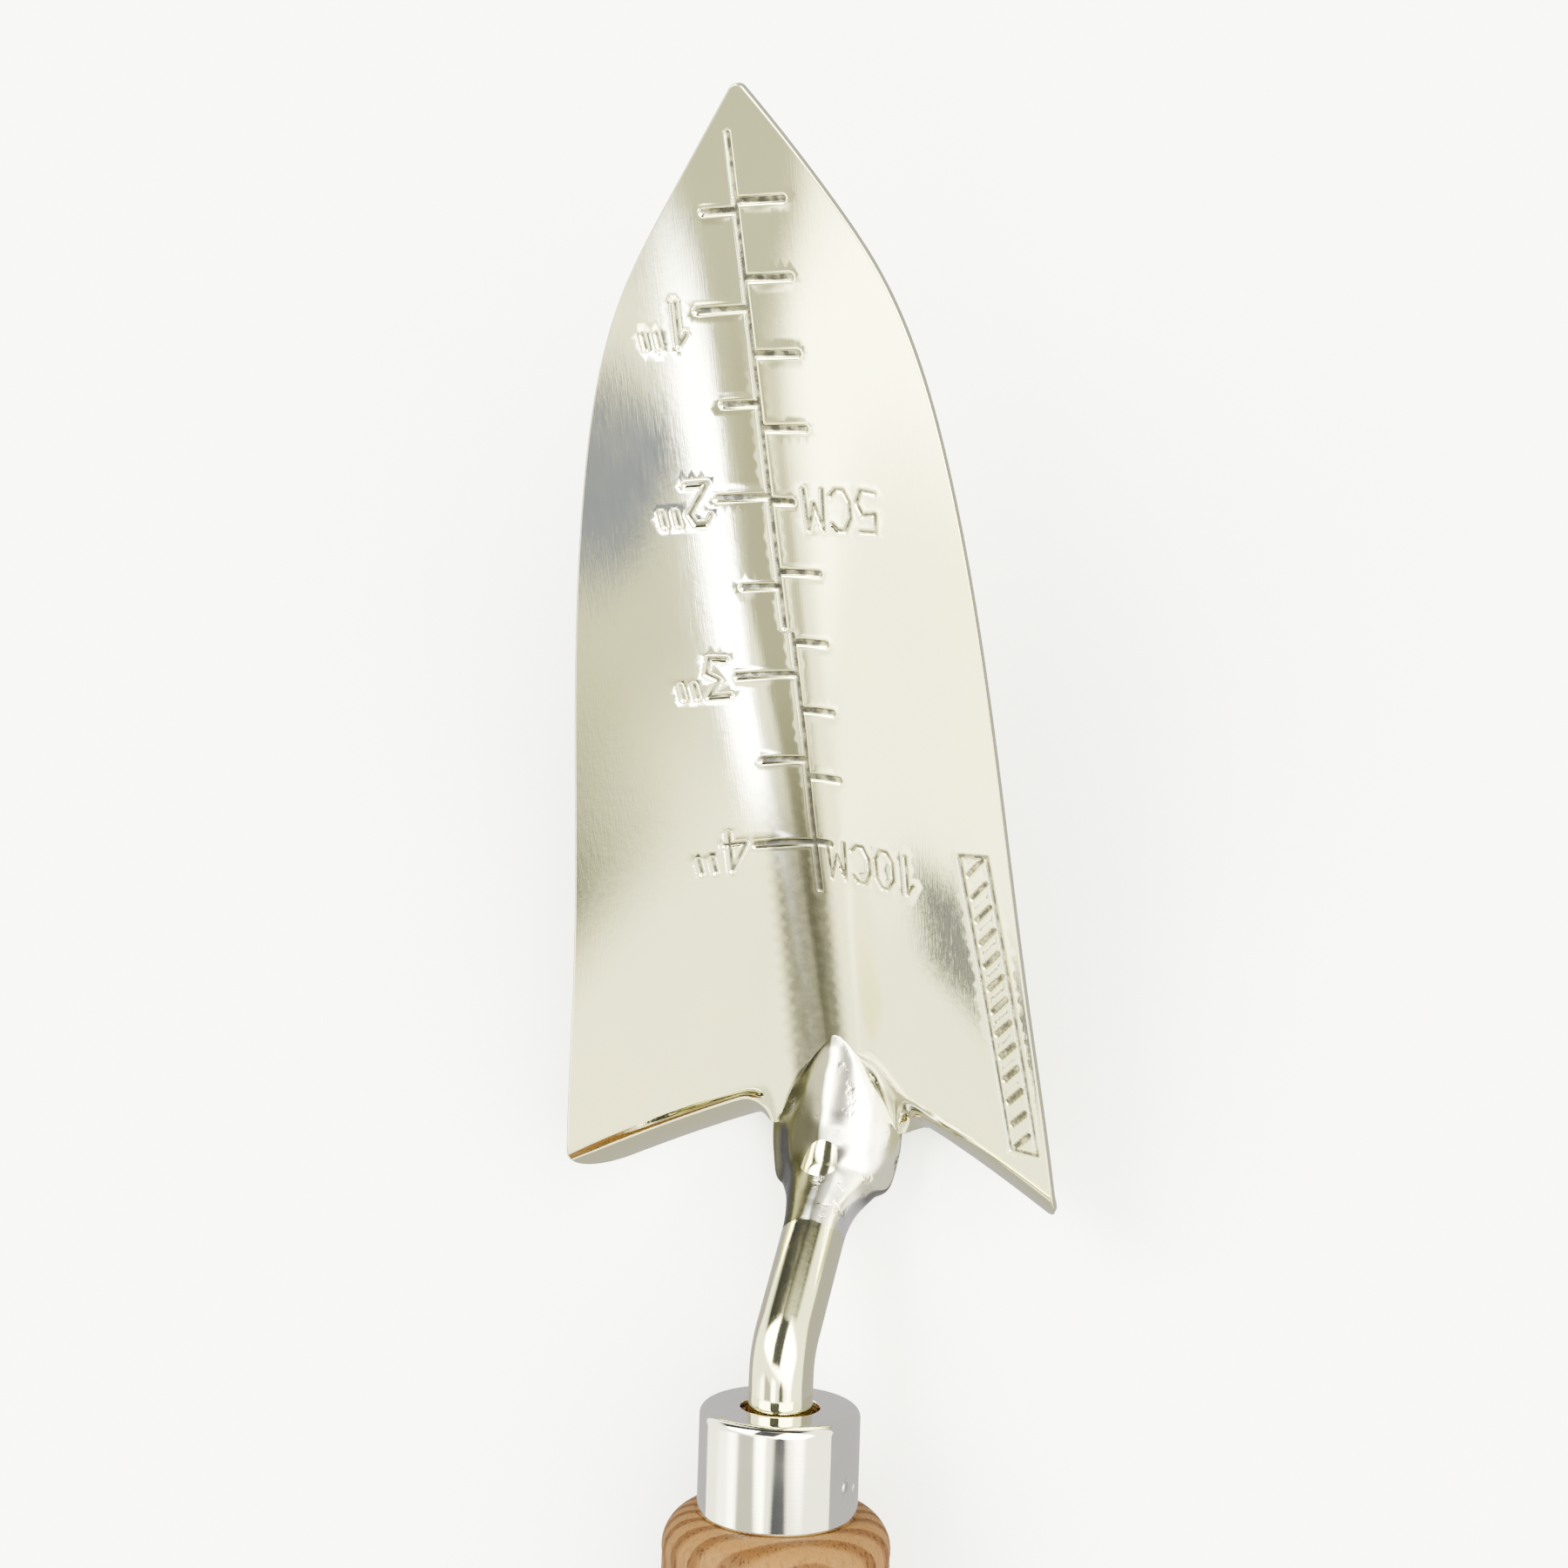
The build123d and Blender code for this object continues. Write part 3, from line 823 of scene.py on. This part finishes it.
# ---- Weld ---------------------------------------------------------------------------------------
def build_weld():
    """Weld metal: a web that fans out from the neck over the heel and runs out up the channel."""
    neck_way = heel_bend - neck_bend
    neck_way /= np.linalg.norm(neck_way)
    neck_up = np.cross(RIGHT, neck_way)
    if neck_up @ GRIP_UP < 0:
        neck_up = -neck_up
    # Each station: centre on the plane of symmetry, its up direction, half width, foot, crest, floor
    stations = []
    for y, half, foot, crest, floor in ((14.4, 0.7, -0.9, -0.62, -1.5), (12.6, 2.4, -0.7, 0.1, -1.6),
                                        (10.0, 4.6, -0.2, 2.2, -1.5), (7.0, 6.9, 0.7, 4.9, -1.4),
                                        (4.0, 8.8, 1.7, 7.2, -1.3), (1.0, 10.2, 2.5, 8.5, -1.2)):
        stations.append((on_blade((0, y, 0))[0], BLADE_OUT, half, foot, crest, floor))
    for back, half, foot, crest, floor in ((3.5, 9.4, -1.6, 4.9, -4.4), (6.0, 7.3, -1.0, 4.8, -4.7),
                                           (9.0, 5.5, -0.2, 4.72, -4.72), (12.0, 4.72, 0.0, 4.66, -4.66),
                                           (15.5, 4.58, 0.0, 4.52, -4.52)):
        stations.append((heel_bend - neck_way * back, neck_up, half, foot, crest, floor))
    sides = WELD_SIDES
    rings = []
    for centre, up, half, foot, crest, floor in stations:
        ring = []
        for s in range(sides):
            angle = 2 * pi * s / sides
            across = cos(angle)
            # A hollow flank above, a plain arc below
            if sin(angle) >= 0:
                full = sin(angle)
                hollow = 0.0 if half < 4.9 else min((half - 4.9) / 4.0, 1.0)
                # The right flank was filled fuller; the left one has a low second ridge
                fullness = 1.7 if across > 0 else 2.7
                lift = full * (1 - hollow) + hollow * full**fullness
                z = foot + (crest - foot) * lift + 0.5 * hollow * np.exp(-((across + 0.6) / 0.14)**2)
            else:
                z = foot + (foot - floor) * sin(angle)
            ring.append(centre + RIGHT * half * across + up * z)
        rings.append(ring)
    rings = np.array(rings)
    # Smooth runs between the stations
    fine = []
    spans = WELD_SPANS
    for i in range(len(rings) - 1):
        p0 = rings[max(i - 1, 0)]
        p1, p2 = rings[i], rings[i + 1]
        p3 = rings[min(i + 2, len(rings) - 1)]
        for k in range(spans):
            t = k / spans
            fine.append(0.5 * (2 * p1 + (p2 - p0) * t + (2 * p0 - 5 * p1 + 4 * p2 - p3) * t**2
                               + (3 * p1 - p0 - 3 * p2 + p3) * t**3))
    fine.append(rings[-1])
    fine = np.array(fine)
    count = len(fine)
    points = fine.reshape(-1, 3)
    # The bead was ground by hand, so it's a little lumpy
    centres = np.repeat(fine.mean(axis=1), sides, axis=0)
    away = points - centres
    away /= np.maximum(np.linalg.norm(away, axis=1), 1e-6)[:, None]
    fade = np.repeat(smooth_step(np.linspace(0, 1, count), 0.0, 0.15)
                     * (1 - smooth_step(np.linspace(0, 1, count), 0.8, 1.0)), sides)
    lumps = ripple(points, 8.0, 11) * 0.09 + ripple(points, 3.0, 12) * 0.02
    points = points + away * lumps[:, None] * fade[:, None]
    faces = ring_faces(count, sides)
    faces.append(tuple(range(sides - 1, -1, -1)))
    faces.append(tuple(range((count - 1) * sides, count * sides)))
    piece = piece_from("weld_web", points, faces, weld_steel)
    face_outwards(piece)
    return piece


weld = build_weld()
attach(weld, "root")
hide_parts("weld_left", "weld_right")


# ---- Ferrule and pin ----------------------------------------------------------------------------
dimple_dir = np.array([sin(DIMPLE_ANGLE), 0.0, cos(DIMPLE_ANGLE)])


def build_ferrule():
    bore = FERRULE_RADIUS - FERRULE_WALL
    profile = [(FERRULE_HOLE_RADIUS, -FERRULE_WALL), (FERRULE_HOLE_RADIUS, -0.25),
               (FERRULE_HOLE_RADIUS + 0.08, -0.08), (FERRULE_HOLE_RADIUS + 0.25, 0.0)]
    profile += [(radius, 0.0) for radius in (6.6, 7.6, 8.6, 9.5)]
    for k in range(9):
        angle = pi / 2 * k / 8
        profile.append((FERRULE_RADIUS - FERRULE_RIM + FERRULE_RIM * sin(angle),
                        -FERRULE_RIM + FERRULE_RIM * cos(angle)))
    profile += [(FERRULE_RADIUS, -FERRULE_RIM - 0.16 * k) for k in range(1, 82)]
    profile += [(FERRULE_RADIUS, -FERRULE_LENGTH + 0.25), (FERRULE_RADIUS - 0.06, -FERRULE_LENGTH + 0.07),
                (FERRULE_RADIUS - 0.25, -FERRULE_LENGTH), (bore, -FERRULE_LENGTH),
                (bore, -FERRULE_LENGTH / 2), (bore, -FERRULE_WALL)]
    sides = FERRULE_SIDES
    points = []
    ball = dimple_dir * (FERRULE_RADIUS - DIMPLE_DEPTH + DIMPLE_BALL) + np.array([0, -DIMPLE_BACK, 0])
    for radius, along in profile:
        for s in range(sides):
            angle = 2 * pi * s / sides
            point = np.array([radius * cos(angle), along, radius * sin(angle)])
            away = np.linalg.norm(point - ball)
            if radius > bore + 0.5 and away < DIMPLE_BALL + 0.9:
                # Pushed in by the ball of a punch, with a soft shoulder round the dent
                pushed = smooth_step(DIMPLE_BALL + 0.9 - away, 0.0, 1.8) * 0.9
                inward = np.array([cos(angle), 0, sin(angle)])
                point = point - inward * max(DIMPLE_BALL - away, 0.0) - inward * pushed * 0.12
            points.append(point)
    faces = ring_faces(len(profile), sides, True)
    piece = piece_from("ferrule_cap", on_grip(points), faces, ferrule_chrome)
    face_outwards(piece)
    return piece


ferrule = build_ferrule()
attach(ferrule, "root")
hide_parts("ferrule")


def build_pin():
    """The pin that holds the ferrule, its head set in the dimple and slightly domed."""
    floor = dimple_dir * (FERRULE_RADIUS - DIMPLE_DEPTH) + np.array([0, -DIMPLE_BACK, 0])
    other = np.array([0.0, 1.0, 0.0])
    third = np.cross(dimple_dir, other)
    profile = [(0.0, 0.22), (0.3, 0.2), (0.6, 0.13), (0.8, 0.02), (PIN_RADIUS, -0.15),
               (PIN_RADIUS, -4.5), (0.0, -4.5)]
    sides = PIN_SIDES
    points = []
    for radius, out in profile:
        for s in range(sides):
            angle = 2 * pi * s / sides
            points.append(floor + dimple_dir * out
                          + (other * cos(angle) + third * sin(angle)) * max(radius, 0.001))
    faces = ring_faces(len(profile), sides)
    faces.append(tuple(range(sides - 1, -1, -1)))
    faces.append(tuple(range((len(profile) - 1) * sides, len(profile) * sides)))
    piece = piece_from("ferrule_pin_head", on_grip(points), faces, pin_steel)
    face_outwards(piece)
    return piece


pin = build_pin()
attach(pin, "root")
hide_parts("ferrule_pin")

# ---- Nodes kept as they are, with better materials ----------------------------------------------
for node, material in (("handle", ash), ("tang_glue", glue)):
    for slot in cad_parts[node].material_slots:
        slot.material = material


# ---- Floor, light and camera --------------------------------------------------------------------
def build_floor():
    nodes = Nodes("studio_floor")
    speck = nodes.noise(nodes.place((30, 30, 30)), 1.0, 2.0, 0.5)
    nodes.feed("Base Color", nodes.ramp(speck, [(0.3, (0.87, 0.88, 0.97)), (0.7, (0.89, 0.90, 0.99))]))
    nodes.set(Roughness=0.9)
    half = 3000.0
    corners = [(-half, -half, 0), (half, -half, 0), (half, half, 0), (-half, half, 0)]
    floor = piece_from("studio_floor", corners, [(0, 1, 2, 3)], nodes.material)
    # The polished steel mirrors a greyer floor than the one in view
    floor.visible_glossy = False


build_floor()

# The studio: a pale tent with soft bright and dark cards. Later cards lie over earlier ones
CREAM = (1.0, 0.985, 0.76)
GREY = (0.97, 1.0, 1.15)
COLD = (0.97, 1.04, 1.6)
LILAC = (1.0, 0.965, 1.0)
TENT_LEVEL = 4.0
BACKDROP = (11.0, 11.0, 10.9)
# Each card: name, azimuth from +Y towards +X, elevation, half width, half height, roll (all degrees),
# softness of the edge as a share of the half sizes, radiance, tint
CARDS = [
    ("floor_half", 0, -90, 78.5, 78.5, 0, 0.02, 0.80, LILAC),
    ("key_overhead", 20, 66, 60, 28, 0, 0.30, 36.0, CREAM),
    ("overhead_flag", 8, 63, 18, 28, 0, 0.20, 0.12, GREY),
    ("fill_right_wing", 243, 24, 9, 10, 0, 0.45, 6.3, CREAM),
    ("fill_right_top", 243, 40, 9, 8, 0, 0.50, 12.0, CREAM),
    ("left_wing_shade", 160, 56, 8, 6, 0, 0.80, 1.6, CREAM),
    ("tip_haze", 221, 59, 18, 8.5, -22, 0.30, 1.20, CREAM),
    ("streak", 174, 54.5, 10, 1.9, 45, 0.60, 42.0, GREY),
    ("low_back", 182, 22, 25, 20.5, 0, 0.20, 2.2, CREAM),
    ("valley_band", 196, 48, 7.5, 9, 8, 0.30, 0.85, CREAM),
    ("valley_shade", 219, 44, 3, 6, 0, 0.70, 1.30, CREAM),
    ("overhead_strip", 194, 72, 7, 5, 0, 0.50, 18.0, CREAM),
    ("left_patch", 169, 61.5, 4.2, 3.4, 12, 0.35, 0.45, COLD),
    ("right_patch", 243.2, 12.1, 0.8, 2.6, 0, 0.25, 0.45, GREY),
    ("front_flag", 350, 22, 50, 17, 0, 0.25, 0.07, GREY),
    ("side_flag", 138, 57, 9, 9, 0, 0.30, 0.16, GREY),
]


def build_world():
    world = bpy.data.worlds.new("studio")
    bpy.context.scene.world = world
    world.use_nodes = True
    tree = world.node_tree
    background = tree.nodes["Background"]
    coordinates = tree.nodes.new("ShaderNodeTexCoord")

    def dot(direction):
        node = tree.nodes.new("ShaderNodeVectorMath")
        node.operation = "DOT_PRODUCT"
        node.inputs[1].default_value = direction
        tree.links.new(coordinates.outputs["Generated"], node.inputs[0])
        return node.outputs["Value"]

    def math(operation, first, second=0.0):
        node = tree.nodes.new("ShaderNodeMath")
        node.operation = operation
        for socket, value in zip(node.inputs, (first, second)):
            if isinstance(value, (int, float)):
                socket.default_value = value
            else:
                tree.links.new(value, socket)
        return node.outputs[0]

    def fade(value, low, high):
        node = tree.nodes.new("ShaderNodeMapRange")
        node.interpolation_type = "SMOOTHSTEP"
        node.inputs["From Min"].default_value = low
        node.inputs["From Max"].default_value = high
        node.inputs["To Min"].default_value = 1.0
        node.inputs["To Max"].default_value = 0.0
        tree.links.new(value, node.inputs["Value"])
        return node.outputs["Result"]

    def mix(factor, first, second):
        node = tree.nodes.new("ShaderNodeMix")
        node.data_type = "RGBA"
        for socket, value in ((0, factor), (6, first), (7, second)):
            if isinstance(value, tuple):
                node.inputs[socket].default_value = (*value, 1.0)
            else:
                tree.links.new(value, node.inputs[socket])
        return node.outputs[2]

    color = tuple(TENT_LEVEL * k for k in CREAM)
    for _, azimuth, elevation, wide, high, roll, soft, level, tint in CARDS:
        a, e, turn = radians(azimuth), radians(elevation), radians(roll)
        forward = np.array([sin(a) * cos(e), cos(a) * cos(e), sin(e)])
        rightward = np.array([cos(a), -sin(a), 0.0])
        upward = np.cross(rightward, forward)
        along = rightward * cos(turn) + upward * sin(turn)
        across = upward * cos(turn) - rightward * sin(turn)
        ahead = dot(forward)
        depth = math("MAXIMUM", ahead, 0.02)
        edges = []
        for axis, half in ((along, wide), (across, high)):
            reach = tan(radians(half))
            place = math("ABSOLUTE", math("DIVIDE", dot(axis), depth))
            edges.append(fade(place, reach * (1 - soft), reach * (1 + soft)))
        mask = math("MULTIPLY", math("MULTIPLY", edges[0], edges[1]), math("GREATER_THAN", ahead, 0.02))
        color = mix(mask, color, tuple(level * k for k in tint))
    rays = tree.nodes.new("ShaderNodeLightPath")
    color = mix(rays.outputs["Is Camera Ray"], color, BACKDROP)
    tree.links.new(color, background.inputs["Color"])


build_world()

camera_data = bpy.data.cameras.new("camera")
camera_data.lens = 50  # millimetres
camera_data.sensor_width = 36
camera_data.clip_start = 0.01
camera = bpy.data.objects.new("camera", camera_data)
bpy.context.scene.collection.objects.link(camera)


def grip_vector(across, along, up):
    return Vector((RIGHT * across + GRIP_DIR * along + GRIP_UP * up).tolist())


# The camera's place and axes in the grip's system
CAMERA_PLACE = (114.43, 88.84, 285.31)
CAMERA_RIGHT = (0.925, 0.031, -0.3788)
CAMERA_UP = (-0.0301, 0.9995, 0.0085)
camera_right = grip_vector(*CAMERA_RIGHT).normalized()
camera_up = grip_vector(*CAMERA_UP).normalized()
camera_back = camera_right.cross(camera_up).normalized()
camera_up = camera_back.cross(camera_right).normalized()
spin = Matrix((camera_right, camera_up, camera_back)).transposed()
camera_place = Vector((on_grip(CAMERA_PLACE)[0] * MM).tolist())
camera.matrix_world = Matrix.Translation(camera_place) @ spin.to_4x4()
bpy.context.scene.camera = camera
